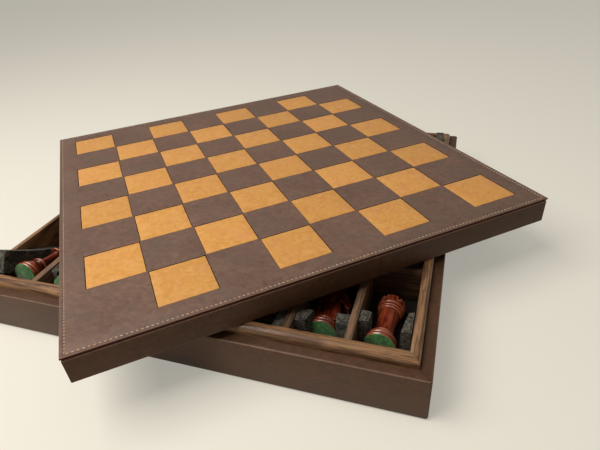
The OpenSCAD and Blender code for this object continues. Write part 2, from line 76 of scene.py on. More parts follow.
SQUARE = 45 * MM
WINDOW_MARGIN = 0.3 * MM
TILE_MARGIN = 0.75 * MM
STITCH_INSET = 3.2 * MM
STITCH_COUNT = 118
STITCH_SUNK = 0.37 * MM
STITCH_HALF = (0.95, 0.42, 0.34)  # half its length, width and height, in millimetres
STITCH_LEAN = math.radians(9)
CHANNEL_HALF = 0.8 * MM
CHANNEL_DEEP = 0.45 * MM
SHEET_ROUND = 0.45 * MM
TILE_ROUND = 0.4 * MM

LEATHER_T = 1.0 * MM
LIP_GAP = 0.5 * MM
SKIRT_T = 8.2 * MM
SHEET_OVERHANG = 0.3 * MM
SKIRT_FOLD_TOP = 0.8 * MM
SKIRT_FOLD_BASE = 0.9 * MM
SKIRT_CORNER = 0.6 * MM
TRAY_FOLD = 1.4 * MM
TRAY_CORNER = 2.0 * MM

LIP_EASED = 0.4 * MM
DIVIDER_EASED = 0.35 * MM

CELL_WIDTH = 30 * MM
FOAM_UNEVEN = 0.3  # in millimetres
FOAM_CLEAR = 0.35 * MM
TALLEST_UPRIGHT = 45 * MM
LOWEST_UPRIGHT = 25 * MM
SPRUNG_LENGTH = 63 * MM
SPRUNG_HEIGHT = 21 * MM
SPRUNG_TILT = math.radians(33)
SPRUNG_SAG = 1.1 * MM
ARCH_THICK = 6.5 * MM

CARVING_VOXEL = 0.42 * MM
KNIGHT_FOOT = 14 * MM

# ------------------------------------------------------------------ small helpers


def linear(hex_colour):
    """sRGB hex, such as "#d9a05b", to the linear RGBA that shaders take."""
    channels = [int(hex_colour[i:i + 2], 16) / 255 for i in (1, 3, 5)]
    return [c / 12.92 if c <= 0.04045 else ((c + 0.055) / 1.055) ** 2.4 for c in channels] + [1.0]


def add(tree, kind, inputs=None, stops=None, **settings):
    """Adds a shader node. inputs maps a socket's name or number to a value, another node's
    output, or another node, which gives its first output. stops gives a colour ramp's places
    and colours, its two ends first."""
    node = tree.nodes.new(kind)
    for name, value in settings.items():
        setattr(node, name, value)
    for name, value in (inputs or {}).items():
        if isinstance(value, bpy.types.Node):
            value = value.outputs[0]
        if isinstance(value, bpy.types.NodeSocket):
            tree.links.new(value, node.inputs[name])
        else:
            node.inputs[name].default_value = value
    for number, (place, colour) in enumerate(stops or []):
        elements = node.color_ramp.elements
        element = elements[number] if number < 2 else elements.new(place)
        element.position = place
        element.color = linear(colour)
    return node


def deselect():
    bpy.ops.object.select_all(action="DESELECT")


def activate(obj):
    deselect()
    obj.select_set(True)
    bpy.context.view_layer.objects.active = obj


def apply_place():
    """Puts the active object's place into its mesh."""
    bpy.ops.object.transform_apply(location=True, rotation=True, scale=True)


def new_object(name):
    """Names the primitive that an operator has just added."""
    obj = bpy.context.object
    obj.name = name
    obj.data.name = name
    return obj


def edit(obj):
    """Goes into edit mode with all of the mesh selected."""
    activate(obj)
    bpy.ops.object.mode_set(mode="EDIT")
    bpy.ops.mesh.select_all(action="SELECT")


def leave():
    bpy.ops.object.mode_set(mode="OBJECT")


def pick(obj, kind, test):
    """Selects, in edit mode, the vertices, edges or faces whose corners pass the test."""
    bpy.ops.mesh.select_mode(type=kind)
    bpy.ops.mesh.select_all(action="DESELECT")
    mesh = bmesh.from_edit_mesh(obj.data)
    parts = {"VERT": mesh.verts, "EDGE": mesh.edges, "FACE": mesh.faces}[kind]
    for part in parts:
        part.select_set(bool(test([part.co] if kind == "VERT" else [v.co for v in part.verts])))
    mesh.select_flush_mode()
    bmesh.update_edit_mesh(obj.data)


def reach(co):
    """Half width of the square about the centre that a point lies on."""
    return max(abs(co.x), abs(co.y))


def near(a, b, by=0.01 * MM):
    return abs(a - b) < by


def apply_modifiers(obj):
    activate(obj)
    for modifier in list(obj.modifiers):
        bpy.ops.object.modifier_apply(modifier=modifier.name)


def ease_edges(obj, width, segments=2, angle=35):
    """Takes the sharpness off every edge, as sanding or handling does."""
    bevel = obj.modifiers.new("eased", "BEVEL")
    bevel.limit_method = "ANGLE"
    bevel.angle_limit = math.radians(angle)
    bevel.width = width
    bevel.segments = segments
    apply_modifiers(obj)


def thicken(obj, thickness):
    """Gives a sheet its thickness, inwards from its face."""
    solid = obj.modifiers.new("thickness", "SOLIDIFY")
    solid.thickness = thickness
    solid.offset = -1
    apply_modifiers(obj)


def copy_of(node, name):
    """A merged copy of a CAD node's mesh, with its flat faces made whole again."""
    obj = NODES[node].copy()
    obj.data = NODES[node].data.copy()
    obj.name = name
    obj.data.name = name
    for key in list(obj.keys()):
        del obj[key]
    obj.parent = None
    obj.matrix_world = Matrix.Identity(4)
    bpy.context.scene.collection.objects.link(obj)
    obj.data.materials.clear()
    edit(obj)
    bpy.ops.mesh.remove_doubles(threshold=0.002 * MM)
    bpy.ops.mesh.customdata_custom_splitnormals_clear()
    leave()
    return obj


def whole_faces(obj):
    """Joins the triangles of each flat face."""
    edit(obj)
    bpy.ops.mesh.dissolve_limited(angle_limit=math.radians(0.3))
    leave()


def repeat(obj, name, places):
    """Copies of one finished mesh at places given as (location, turn about z), joined."""
    copies = []
    for location, turn in places:
        copy = obj.copy()
        copy.data = obj.data.copy()
        bpy.context.scene.collection.objects.link(copy)
        copy.location = location
        copy.rotation_euler = (0, 0, turn)
        copies.append(copy)
    bpy.data.objects.remove(obj)
    deselect()
    for copy in copies:
        copy.select_set(True)
    bpy.context.view_layer.objects.active = copies[0]
    bpy.ops.object.join()
    apply_place()
    copies[0].name = name
    copies[0].data.name = name
    return copies[0]


def on_board(obj, height=0.0):
    """Lays a piece modelled square about the origin on the turned board."""
    obj.location = (BOARD_CENTRE.x, BOARD_CENTRE.y, height)
    obj.rotation_euler = (0, 0, BOARD_TURN)


def finish_piece(obj, materials, body, nodes=(), smooth=30):
    """Dresses a finished mesh, ties it to its body, and hides the CAD nodes that it stands for."""
    activate(obj)
    apply_place()
    bpy.ops.object.shade_smooth_by_angle(angle=math.radians(smooth))
    for material in materials:
        obj.data.materials.append(material)
    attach(obj, body)
    if nodes:
        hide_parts(*nodes)
    return obj


# ------------------------------------------------------------------ camera, light and floor


def viewpoint():
    """Camera at the height of someone standing at the table's corner."""
    bpy.ops.object.camera_add(location=(0.1919, -0.4005, 0.2866))
    camera = bpy.context.object
    look = Vector((-0.2864, 0.7872, -0.5462)).normalized()
    up = Vector((-0.1139, 0.5381, 0.8352))
    right = look.cross(up).normalized()
    up = right.cross(look)
    camera.rotation_euler = Matrix((right, up, -look)).transposed().to_euler()
    camera.data.lens = 28.22
    camera.data.sensor_width = 36
    camera.data.clip_start = 0.01
    bpy.context.scene.camera = camera


def area_light(name, place, target, size, power, colour):
    bpy.ops.object.light_add(type="AREA", location=place)
    light = bpy.context.object
    light.name = name
    aim = Vector(target) - Vector(place)
    light.rotation_euler = aim.to_track_quat("-Z", "Y").to_euler()
    light.data.shape = "RECTANGLE"
    light.data.size, light.data.size_y = size
    light.data.energy = power
    light.data.color = linear(colour)[:3]


def looked_at(tree):
    """1 for rays from the camera, off gloss or through glass, which see a backdrop, and 0 for
    those that gather its light."""
    ray = add(tree, "ShaderNodeLightPath")
    seen = add(tree, "ShaderNodeMath", operation="ADD",
               inputs={0: ray.outputs["Is Camera Ray"], 1: ray.outputs["Is Glossy Ray"]})
    return add(tree, "ShaderNodeMath", operation="ADD",
               inputs={0: seen, 1: ray.outputs["Is Transmission Ray"]})


def studio():
    """Soft daylight from above and a little to the left, with a weak even fill."""
    area_light("skylight", (-0.42, -0.42, 0.94), (-0.06, -0.12, 0), (0.8, 0.8), 11.0, "#fffaf4")
    area_light("ceiling", (-0.2, 0.0, 2.6), (0, 0, 0), (3.0, 3.0), 7, "#fffdf8")
    world = bpy.data.worlds.new("studio")
    bpy.context.scene.world = world
    world.use_nodes = True
    tree = world.node_tree
    fill = tree.nodes["Background"]
    fill.inputs["Color"].default_value = linear("#f0e8d8")
    fill.inputs["Strength"].default_value = 0.23
    # what looks at the studio's walls sees them paler than the light they give
    walls = add(tree, "ShaderNodeBackground", {"Color": linear("#e9e6da"), "Strength": 0.4})
    mixed = add(tree, "ShaderNodeMixShader", {0: looked_at(tree), 1: fill, 2: walls})
    tree.links.new(mixed.outputs[0], tree.nodes["World Output"].inputs["Surface"])
    bpy.context.scene.view_settings.view_transform = "Standard"


def pale_floor():
    """Plain pale floor that the tray stands on. What looks at it directly sees it a little
    paler than the lamps make it, so that it stays even to its far edge."""
    paler_share = 0.38
    material, tree, shader = new_material("pale_floor", 0.9, Specular_IOR_Level=0.2)
    shader.inputs["Base Color"].default_value = linear("#f0ebdd")
    paler = add(tree, "ShaderNodeEmission", {"Color": linear("#f1eee3"), "Strength": 1.0})
    share = add(tree, "ShaderNodeMath", {0: looked_at(tree), 1: paler_share}, operation="MULTIPLY")
    mixed = add(tree, "ShaderNodeMixShader", {0: share, 1: shader, 2: paler})
    tree.links.new(mixed.outputs[0], tree.nodes["Material Output"].inputs["Surface"])
    bpy.ops.mesh.primitive_plane_add(size=8, location=(0, 0, 0))
    floor = new_object("floor")
    floor.data.materials.append(material)


# ------------------------------------------------------------------ materials

# sockets of a colour Mix: its share, the colour under, the colour over, and what comes out
SHARE, UNDER, OVER, MIXED = 0, 6, 7, 2


def new_material(name, roughness, **sockets):
    """A material with one shader, and the values that are the same all over it."""
    material = bpy.data.materials.new(name)
    material.use_nodes = True
    shader = material.node_tree.nodes["Principled BSDF"]
    shader.inputs["Roughness"].default_value = roughness
    for socket, value in sockets.items():
        shader.inputs[socket.replace("_", " ")].default_value = value
    return material, material.node_tree, shader


def marks(width):
    """Scale of a pattern whose marks are this wide."""
    return round(1 / width)


def ridges(spacing):
    """Scale of a wave whose ridges are this far apart."""
    return round(math.pi / 10 / spacing)


def dress(tree, shader, colour, height, strength, stand):
    """Gives a material its colour, and its relief as a bump that stands this far out."""
    bump = add(tree, "ShaderNodeBump",
               {"Height": height, "Strength": strength, "Distance": stand})
    tree.links.new(colour, shader.inputs["Base Color"])
    tree.links.new(bump.outputs[0], shader.inputs["Normal"])


def leather(name, colours, roughness, turn=0.0, worn_and_lit_bands=(), mitred=False, shine=0.33):
    """Calf leather, vegetable tanned, dyed by hand and waxed: the dye takes unevenly, so the
    colour drifts in soft streaks of about 4 mm, and it is paler along the fine creases where
    the hide has been bent. colours are the dye at its darkest, middle and palest, a second
    tint of it, and the creases. Each band given is a pair of heights between which a folded
    edge is painted paler, partly as rubbing and partly as a painted highlight where the fold
    catches the light, and mitred draws the cut where two folds meet at a corner."""
    darkest, middle, palest, second, creased = colours
    material, tree, shader = new_material(name, roughness, Specular_IOR_Level=shine)
    place = add(tree, "ShaderNodeTexCoord").outputs["Object"]
    turned = add(tree, "ShaderNodeMapping",
                 {"Vector": place, "Rotation": (0, 0, -turn), "Scale": (0.7, 1, 1)})
    streaks = add(tree, "ShaderNodeTexNoise",
                  {"Vector": turned, "Scale": marks(4.17 * MM), "Detail": 6,
                   "Roughness": 0.62, "Distortion": 0.6})
    clouds = add(tree, "ShaderNodeTexNoise",
                 {"Vector": turned, "Scale": marks(41.5 * MM), "Detail": 2})
    depth = add(tree, "ShaderNodeMath", operation="MULTIPLY_ADD",
                inputs={0: clouds, 1: 0.45, 2: streaks})
    dye = add(tree, "ShaderNodeValToRGB", {"Fac": depth},
              stops=[(0.45, darkest), (1.0, palest), (0.72, middle)])
    tint = add(tree, "ShaderNodeTexNoise",
               {"Vector": turned, "Scale": marks(24 * MM), "Detail": 4, "Distortion": 0.5})
    tint_share = add(tree, "ShaderNodeMapRange",
                     {"Value": tint, "From Min": 0.45, "From Max": 0.68, "To Max": 0.55})
    colour = add(tree, "ShaderNodeMix", data_type="RGBA",
                 inputs={SHARE: tint_share, UNDER: dye, OVER: linear(second)}).outputs[MIXED]
    # creases 6 to 10 mm apart, bent out of true by up to 12 mm
    bent = add(tree, "ShaderNodeVectorMath", operation="MULTIPLY_ADD",
               inputs={0: streaks.outputs["Color"], 1: (12 * MM, 12 * MM, 12 * MM), 2: turned})
    creases = add(tree, "ShaderNodeTexVoronoi", feature="DISTANCE_TO_EDGE",
                  inputs={"Vector": bent, "Scale": marks(7.7 * MM)})
    crease_share = add(tree, "ShaderNodeMapRange",
                       {"Value": creases, "From Max": 0.06, "To Min": 0.26, "To Max": 0.0})
    colour = add(tree, "ShaderNodeMix", data_type="RGBA",
                 inputs={SHARE: crease_share, UNDER: colour, OVER: linear(creased)}).outputs[MIXED]
    axes = add(tree, "ShaderNodeSeparateXYZ", {"Vector": place})
    # painted highlight along each folded edge, mixed with real rubbing, between the band's two
    # heights
    for low, high, worn_and_lit_colour in worn_and_lit_bands:
        away = add(tree, "ShaderNodeMath", operation="SUBTRACT",
                   inputs={0: axes.outputs["Z"], 1: (low + high) / 2})
        away = add(tree, "ShaderNodeMath", {0: away}, operation="ABSOLUTE")
        half = (high - low) / 2
        share = add(tree, "ShaderNodeMapRange",
                    {"Value": away, "From Min": half * 0.6, "From Max": half,
                     "To Min": 1.0, "To Max": 0.0})
        wear_and_highlight = add(tree, "ShaderNodeMath", {0: share, 1: streaks}, operation="MULTIPLY")
        wear_and_highlight = add(tree, "ShaderNodeMath", {0: wear_and_highlight, 1: 1.8}, operation="MULTIPLY", use_clamp=True)
        colour = add(tree, "ShaderNodeMix", data_type="RGBA",
                     inputs={SHARE: wear_and_highlight, UNDER: colour, OVER: linear(worn_and_lit_colour)}).outputs[MIXED]
    if mitred:
        across = add(tree, "ShaderNodeMath", {0: axes.outputs["X"]}, operation="ABSOLUTE")
        along = add(tree, "ShaderNodeMath", {0: axes.outputs["Y"]}, operation="ABSOLUTE")
        apart = add(tree, "ShaderNodeMath", {0: across, 1: along}, operation="SUBTRACT")
        apart = add(tree, "ShaderNodeMath", {0: apart}, operation="ABSOLUTE")
        cut = add(tree, "ShaderNodeMapRange",
                  {"Value": apart, "From Min": 0.15 * MM, "From Max": 0.55 * MM,
                   "To Min": 0.85, "To Max": 0.0})
        colour = add(tree, "ShaderNodeMix", data_type="RGBA",
                     inputs={SHARE: cut, UNDER: colour, OVER: linear("#23150e")}).outputs[MIXED]
    # a calf's grain is some 0.4 mm across, and is drawn at twice that so that it shows
    pebbles = add(tree, "ShaderNodeTexVoronoi",
                  {"Vector": place, "Scale": marks(0.833 * MM), "Randomness": 1.0})
    relief = add(tree, "ShaderNodeMath", operation="MULTIPLY_ADD",
                 inputs={0: streaks, 1: 1.8, 2: pebbles})
    relief = add(tree, "ShaderNodeMath", operation="MULTIPLY_ADD",
                 inputs={0: crease_share, 1: -1.5, 2: relief})
    dress(tree, shader, colour, relief, 0.18, 0.25 * MM)
    polish = add(tree, "ShaderNodeMapRange",
                 {"Value": streaks, "From Min": 0.3, "From Max": 0.7,
                  "To Min": roughness - 0.06, "To Max": roughness + 0.08})
    tree.links.new(polish.outputs[0], shader.inputs["Roughness"])
    return material


def inlay_leather():
    """Undyed calf, oiled to a warm tan: each inlaid square is cut from another place on the
    hide, so its marbling and depth differ a little from its neighbours'."""
    material, tree, shader = new_material("oiled_tan_calf", 0.42, Specular_IOR_Level=0.37)
    place = add(tree, "ShaderNodeTexCoord").outputs["Object"]
    centred = add(tree, "ShaderNodeVectorMath", operation="SUBTRACT",
                  inputs={0: place, 1: (BOARD_CENTRE.x, BOARD_CENTRE.y, 0)})
    turned = add(tree, "ShaderNodeMapping", {"Vector": centred, "Rotation": (0, 0, -BOARD_TURN)})
    squares = add(tree, "ShaderNodeVectorMath", {0: turned, 1: (SQUARE, SQUARE, 1)},
                  operation="DIVIDE")
    number = add(tree, "ShaderNodeVectorMath", {0: squares}, operation="FLOOR")
    per_square = add(tree, "ShaderNodeTexWhiteNoise", {"Vector": number}, noise_dimensions="3D")
    moved = add(tree, "ShaderNodeVectorMath", operation="MULTIPLY_ADD",
                inputs={0: per_square.outputs["Color"], 1: (1, 1, 1), 2: turned})
    # marbling in wisps of 4 to 8 mm, with pinker blushes a little wider
    wisps = add(tree, "ShaderNodeTexNoise",
                {"Vector": moved, "Scale": marks(6.67 * MM), "Detail": 5, "Roughness": 0.55,
                 "Distortion": 1.4})
    dye = add(tree, "ShaderNodeValToRGB", {"Fac": wisps},
              stops=[(0.26, "#cc8e44"), (0.76, "#e0ab68"), (0.5, "#d89c51")])
    blush = add(tree, "ShaderNodeTexNoise",
                {"Vector": moved, "Scale": marks(11.1 * MM), "Detail": 2, "Distortion": 0.6})
    blush_share = add(tree, "ShaderNodeMapRange",
                      {"Value": blush, "From Min": 0.5, "From Max": 0.75, "To Max": 0.45})
    blushed = add(tree, "ShaderNodeMix", data_type="RGBA",
                  inputs={SHARE: blush_share, UNDER: dye, OVER: linear("#d98f66")})
    depth = add(tree, "ShaderNodeMapRange",
                {"Value": per_square.outputs["Value"], "To Min": 0.93, "To Max": 1.05})
    toned = add(tree, "ShaderNodeHueSaturation",
                {"Color": blushed.outputs[MIXED], "Value": depth})
    # the grain of 0.4 mm, drawn at 0.9 mm
    pebbles = add(tree, "ShaderNodeTexVoronoi", {"Vector": moved, "Scale": marks(0.909 * MM)})
    relief = add(tree, "ShaderNodeMath", operation="MULTIPLY_ADD",
                 inputs={0: wisps, 1: 1.6, 2: pebbles})
    dress(tree, shader, toned.outputs[0], relief, 0.12, 0.25 * MM)
    return material


def cut_edge(name, colour):
    """Sliced leather, dyed and burnished: darker than the face, with fibre showing."""
    material, tree, shader = new_material(name, 0.75, Specular_IOR_Level=0.15)
    place = add(tree, "ShaderNodeTexCoord").outputs["Object"]
    # bundles of fibre are 0.2 mm thick, and are drawn at 1.1 mm
    fibre = add(tree, "ShaderNodeTexNoise",
                {"Vector": place, "Scale": marks(1.111 * MM), "Detail": 3})
    shade = add(tree, "ShaderNodeMapRange", {"Value": fibre, "To Min": 0.75, "To Max": 1.25})
    toned = add(tree, "ShaderNodeHueSaturation", {"Color": linear(colour), "Value": shade})
    dress(tree, shader, toned.outputs[0], fibre, 0.4, 0.15 * MM)
    return material


def waxed_thread():
    """Linen thread, twisted and waxed: pale, with the twist as a slanting ripple."""
    material, tree, shader = new_material("waxed_linen_thread", 0.55)
    place = add(tree, "ShaderNodeTexCoord").outputs["Object"]
    turned = add(tree, "ShaderNodeMapping",
                 {"Vector": place, "Rotation": (0, 0, -BOARD_TURN + 0.6)})
    # the twist of a thread this thin is 0.3 mm, and is drawn at 0.6 mm
    twist = add(tree, "ShaderNodeTexWave",
                {"Vector": turned, "Scale": ridges(0.604 * MM), "Distortion": 0.4})
    soil = add(tree, "ShaderNodeTexNoise",
               {"Vector": place, "Scale": marks(14.3 * MM), "Detail": 3})
    fresh = add(tree, "ShaderNodeValToRGB", {"Fac": soil},
                stops=[(0.35, "#cfab82"), (0.65, "#f0dab8")])
    shaded = add(tree, "ShaderNodeMix", data_type="RGBA", blend_type="MULTIPLY",
                 inputs={SHARE: 0.25, UNDER: fresh, OVER: twist.outputs["Color"]})
    dress(tree, shader, shaded.outputs[MIXED], twist.outputs["Fac"], 0.4, 0.1 * MM)
    return material


def sawn_wood(name, colours, grain, roughness):
    """Planed wood, bare, stained or thinly oiled: growth rings run along the grain in slow
    waves, with fine dark pores. colours are its darkest, middle and palest tone and its pores,
    and grain is how much the pattern shrinks along x, y and z."""
    darkest, middle, palest, pore = colours
    ring_lines = 44
    material, tree, shader = new_material(name, roughness)
    place = add(tree, "ShaderNodeTexCoord").outputs["Object"]
    along = add(tree, "ShaderNodeMapping", {"Vector": place, "Scale": grain})
    rings = add(tree, "ShaderNodeTexNoise",
                {"Vector": along, "Scale": marks(38.5 * MM), "Detail": 4, "Roughness": 0.55,
                 "Distortion": 0.9})
    waves = add(tree, "ShaderNodeMath", {0: rings, 1: ring_lines}, operation="MULTIPLY")
    waves = add(tree, "ShaderNodeMath", {0: waves}, operation="SINE")
    fibres = add(tree, "ShaderNodeTexNoise",
                 {"Vector": along, "Scale": marks(1.613 * MM), "Detail": 4, "Roughness": 0.65})
    shade = add(tree, "ShaderNodeMath", operation="MULTIPLY_ADD",
                inputs={0: waves, 1: 0.13, 2: fibres})
    tone = add(tree, "ShaderNodeValToRGB", {"Fac": shade},
               stops=[(0.34, darkest), (0.66, palest), (0.49, middle)])
    # vessels of walnut are 0.2 mm wide, and are drawn 0.5 mm wide and 0.8 mm apart
    pores = add(tree, "ShaderNodeTexNoise",
                {"Vector": along, "Scale": marks(0.769 * MM), "Detail": 1})
    pore_share = add(tree, "ShaderNodeMapRange",
                     {"Value": pores, "From Min": 0.58, "From Max": 0.68, "To Max": 0.75})
    colour = add(tree, "ShaderNodeMix", data_type="RGBA",
                 inputs={SHARE: pore_share, UNDER: tone, OVER: linear(pore)})
    relief = add(tree, "ShaderNodeMath", operation="MULTIPLY_ADD",
                 inputs={0: pore_share, 1: -1.0, 2: fibres})
    dress(tree, shader, colour.outputs[MIXED], relief, 0.15, 0.15 * MM)
    return material


def turned_wood(name, colours, roughness):
    """Boxwood turned on a lathe, stained or oiled, then lacquered: close grain along the piece,
    with faint tool rings across it, under a glossy coat. The hollows between the turned rings
    are darker, partly stain gathered there and partly painted shade, and the tops of the rings
    are paler, partly polish taking the stain off and partly a painted highlight. colours are
    the darkest, middle and palest stain, the hollows and the ring tops."""
    darkest, middle, palest, hollow_stain_and_shade, top_polish_and_highlight = colours
    material, tree, shader = new_material(name, roughness, Coat_Weight=0.8, Coat_Roughness=0.1)
    place = add(tree, "ShaderNodeTexCoord").outputs["Object"]
    along = add(tree, "ShaderNodeMapping", {"Vector": place, "Scale": (1, 0.09, 1)})
    streaks = add(tree, "ShaderNodeTexNoise",
                  {"Vector": along, "Scale": marks(3.125 * MM), "Detail": 5, "Roughness": 0.6,
                   "Distortion": 0.3})
    clouds = add(tree, "ShaderNodeTexNoise",
                 {"Vector": place, "Scale": marks(22.2 * MM), "Detail": 2})
    depth = add(tree, "ShaderNodeMath", operation="MULTIPLY_ADD",
                inputs={0: clouds, 1: 0.5, 2: streaks})
    stain = add(tree, "ShaderNodeValToRGB", {"Fac": depth},
                stops=[(0.56, darkest), (0.94, palest), (0.75, middle)])
    # painted shade in the hollows and painted highlight on the ring tops, found from how sharply
    # the surface turns, mixed with real pooled stain and polish
    turning = add(tree, "ShaderNodeNewGeometry").outputs["Pointiness"]
    stain_and_shade_in_hollows = add(tree, "ShaderNodeMapRange",
                  {"Value": turning, "From Min": 0.44, "From Max": 0.49,
                   "To Min": 0.85, "To Max": 0.0})
    with_stain_and_shade = add(tree, "ShaderNodeMix", data_type="RGBA",
                 inputs={SHARE: stain_and_shade_in_hollows, UNDER: stain, OVER: linear(hollow_stain_and_shade)}).outputs[MIXED]
    polish_and_highlight_on_tops = add(tree, "ShaderNodeMapRange",
                 {"Value": turning, "From Min": 0.51, "From Max": 0.56,
                  "To Min": 0.0, "To Max": 0.7})
    with_polish_and_highlight = add(tree, "ShaderNodeMix", data_type="RGBA",
                   inputs={SHARE: polish_and_highlight_on_tops, UNDER: with_stain_and_shade, OVER: linear(top_polish_and_highlight)})
    # tool rings are 0.3 mm apart, and are drawn at 1.4 mm
    rings = add(tree, "ShaderNodeTexWave", bands_direction="Y",
                inputs={"Vector": place, "Scale": ridges(1.366 * MM), "Distortion": 0.6})
    relief = add(tree, "ShaderNodeMath", operation="MULTIPLY_ADD",
                 inputs={0: rings.outputs["Fac"], 1: 0.35, 2: streaks})
    dress(tree, shader, with_polish_and_highlight.outputs[MIXED], relief, 0.07, 0.1 * MM)
    return material


def open_cell_foam():
    """Charcoal polyurethane foam, cut from a sheet: matt, speckled by its open cells, with a
    greenish cast and paler skins where it has rubbed."""
    material, tree, shader = new_material("polyurethane_foam", 0.95, Specular_IOR_Level=0.15,
                                         Sheen_Weight=0.1, Sheen_Roughness=0.6)
    place = add(tree, "ShaderNodeTexCoord").outputs["Object"]
    # cells of 0.5 mm are drawn at 0.8 mm, each with its own depth of grey
    cells = add(tree, "ShaderNodeTexVoronoi", {"Vector": place, "Scale": marks(0.8 * MM)})
    grains = add(tree, "ShaderNodeSeparateColor", {"Color": cells.outputs["Color"]})
    clouds = add(tree, "ShaderNodeTexNoise",
                 {"Vector": place, "Scale": marks(7.7 * MM), "Detail": 4})
    depth = add(tree, "ShaderNodeMath", operation="MULTIPLY_ADD",
                inputs={0: grains, 1: 0.55, 2: clouds})
    tone = add(tree, "ShaderNodeValToRGB", {"Fac": depth},
               stops=[(0.42, "#1b1a16"), (1.1, "#6f6a5e"), (0.76, "#3b3932")])
    relief = add(tree, "ShaderNodeMath", operation="MULTIPLY_ADD",
                 inputs={0: cells, 1: -1.0, 2: depth})
    dress(tree, shader, tone.outputs[0], relief, 0.7, 0.5 * MM)
    return material


def wool_felt():
    """Green wool felt, pressed: matt, a little fuzzy, with fibres lying every way."""
    material, tree, shader = new_material("green_wool_felt", 1.0, Specular_IOR_Level=0.1,
                                         Sheen_Weight=0.5, Sheen_Roughness=0.5)
    place = add(tree, "ShaderNodeTexCoord").outputs["Object"]
    # wool's fibres are far finer, and are drawn at 0.7 mm, in tufts of 3 mm
    fibres = add(tree, "ShaderNodeTexNoise",
                 {"Vector": place, "Scale": marks(0.6667 * MM), "Detail": 3, "Roughness": 0.7,
                  "Distortion": 1.5})
    tufts = add(tree, "ShaderNodeTexNoise",
                {"Vector": place, "Scale": marks(3.33 * MM), "Detail": 3})
    depth = add(tree, "ShaderNodeMath", operation="MULTIPLY_ADD",
                inputs={0: fibres, 1: 0.6, 2: tufts})
    tone = add(tree, "ShaderNodeValToRGB", {"Fac": depth},
               stops=[(0.55, "#24562a"), (1.05, "#5a9446"), (0.8, "#37702f")])
    dress(tree, shader, tone.outputs[0], depth, 0.5, 0.2 * MM)
    return material


def flock(name, colours):
    """Cotton flock on paper, as box makers line a tray: matt and very dark, a little dusty."""
    material, tree, shader = new_material(name, 1.0, Specular_IOR_Level=0.1,
                                         Sheen_Weight=0.15, Sheen_Roughness=0.6)
    place = add(tree, "ShaderNodeTexCoord").outputs["Object"]
    # the nap of 0.5 mm is drawn at 1.1 mm
    nap = add(tree, "ShaderNodeTexNoise",
              {"Vector": place, "Scale": marks(1.111 * MM), "Detail": 3, "Roughness": 0.7})
    dust = add(tree, "ShaderNodeTexNoise",
               {"Vector": place, "Scale": marks(16.7 * MM), "Detail": 4})
    depth = add(tree, "ShaderNodeMath", operation="MULTIPLY_ADD",
                inputs={0: dust, 1: 0.7, 2: nap})
    tone = add(tree, "ShaderNodeValToRGB", {"Fac": depth},
               stops=[(0.6, colours[0]), (1.1, colours[1])])
    dress(tree, shader, tone.outputs[0], nap, 0.5, 0.2 * MM)
    return material


BOARD_LEATHER = leather(
    "waxed_brown_calf", ("#5c473c", "#6e5448", "#806555", "#68574f", "#8c7160"), 0.5, BOARD_TURN)
RIM_FOLD = BOARD_BASE + SKIRT_TOP
# the skirt's dye is darker than the top sheet's as painted shade on its sides, and its paler bands
# at the rolled top and at the lower fold are painted highlight, partly rubbing
RIM_LEATHER = leather(
    "skirt_calf_with_painted_shade", ("#38231a", "#482f20", "#583b28", "#4a3522", "#60442f"), 0.55, BOARD_TURN,
    [(RIM_FOLD - 1.1 * MM, RIM_FOLD + 1.2 * MM, "#8d6b5a"),
     (BOARD_BASE - 0.9 * MM, BOARD_BASE + 0.9 * MM, "#5f4633")], shine=0.2)
# the paler band just under the rim's top is a painted highlight along the fold, partly rubbing
TRAY_LEATHER = leather(
    "brown_calf", ("#40291c", "#4e3423", "#5f402d", "#523a26", "#694833"), 0.48, 0.0,
    [(RIM_TOP - 0.9 * MM, RIM_TOP - 0.1 * MM, "#7b604d")], mitred=True, shine=0.3)
TAN_LEATHER = inlay_leather()
DARK_EDGE = cut_edge("burnished_edge", "#431f13")
TAN_EDGE = cut_edge("tan_cut_edge", "#c08a58")
THREAD = waxed_thread()

ALONG_X, ALONG_Y = (0.06, 1, 1), (1, 0.06, 1)
PINE_X, PINE_Y = (0.08, 1, 1), (1, 0.08, 1)
WALNUT = ("#5a3d27", "#7f5d40", "#9b744f", "#3c2718")
PALE_WALNUT = ("#49331f", "#644830", "#7d5c40", "#33221a")
# walnut of the cross walls, darker than the dividers' as painted shade: they stand in the board's
# shadow
WALNUT_DARKENED_AS_SHADE = ("#2f1d10", "#4a321f", "#61442d", "#1f130b")
PINE = ("#9a7a52", "#b3915f", "#c7a778", "#7c5e3c")
# pine darkened as painted shade, for boards seen only at the bottom of narrow gaps
PINE_DARKENED_AS_SHADE = ("#2a1d14", "#382719", "#453123", "#1e140d")
LIP_WOOD_X = sawn_wood("oiled_walnut_lengthwise", WALNUT, ALONG_X, 0.4)
LIP_WOOD_Y = sawn_wood("oiled_walnut_front_to_back", WALNUT, ALONG_Y, 0.4)
DIVIDER_WOOD = sawn_wood("bare_walnut_front_to_back", PALE_WALNUT, ALONG_Y, 0.6)
# cross walls in painted shade
CROSS_WOOD = sawn_wood("walnut_across_darkened_as_shade", WALNUT_DARKENED_AS_SHADE, ALONG_X, 0.6)
RAW_BOARD = sawn_wood("sawn_pine", PINE, PINE_X, 0.75)
RAW_BOARD_Y = sawn_wood("sawn_pine_front_to_back", PINE, PINE_Y, 0.75)
# painted shade for the gaps between the squares and between lip and leather
DARK_PANEL = sawn_wood("board_darkened_as_painted_shade", PINE_DARKENED_AS_SHADE, PINE_X, 0.7)
